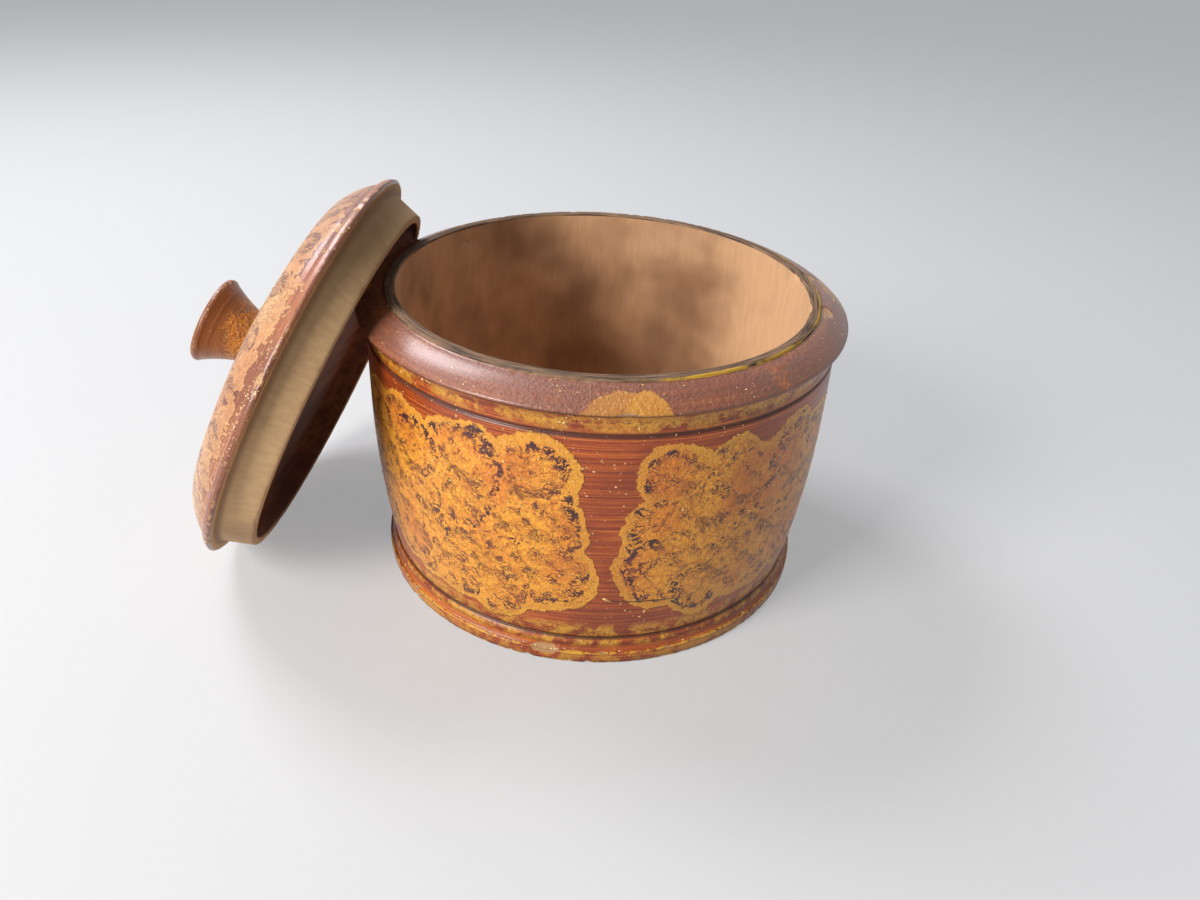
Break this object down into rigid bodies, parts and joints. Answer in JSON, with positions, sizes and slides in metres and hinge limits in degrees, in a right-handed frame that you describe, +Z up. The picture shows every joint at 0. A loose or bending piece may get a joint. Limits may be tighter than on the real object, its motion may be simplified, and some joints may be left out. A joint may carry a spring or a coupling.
{
  "type": "lidded wooden canister",
  "caption": "Turned wooden canister with a straight bore, a sloping collar and a moulded foot, and a domed lift-off lid with a flared knob leaning beside it.",
  "frame": {"origin": "centre of the canister's foot, on the surface that it stands on", "axes": "+Z up along the canister's axis, +X away from the leaning lid, +Y away from the viewer of the pictured side"},
  "size_m": [0.2764, 0.2034, 0.1608],
  "materials": {
    "painted_wood": "worn satin varnish over red-brown paint with ochre patches",
    "painted_lid_wood": "worn satin varnish over red-brown paint",
    "painted_knob_wood": "worn satin varnish over red-brown paint"
  },
  "bodies": {
    "canister": {"canister_body": "painted_wood"},
    "lid": {"lid": "painted_lid_wood", "knob": "painted_knob_wood"}
  },
  "joints": [
    {"name": "lid_lift", "type": "slide", "parent": "canister", "child": "lid", "axis": [0, 0, 1], "range_m": [0, 0.18]}
  ]
}
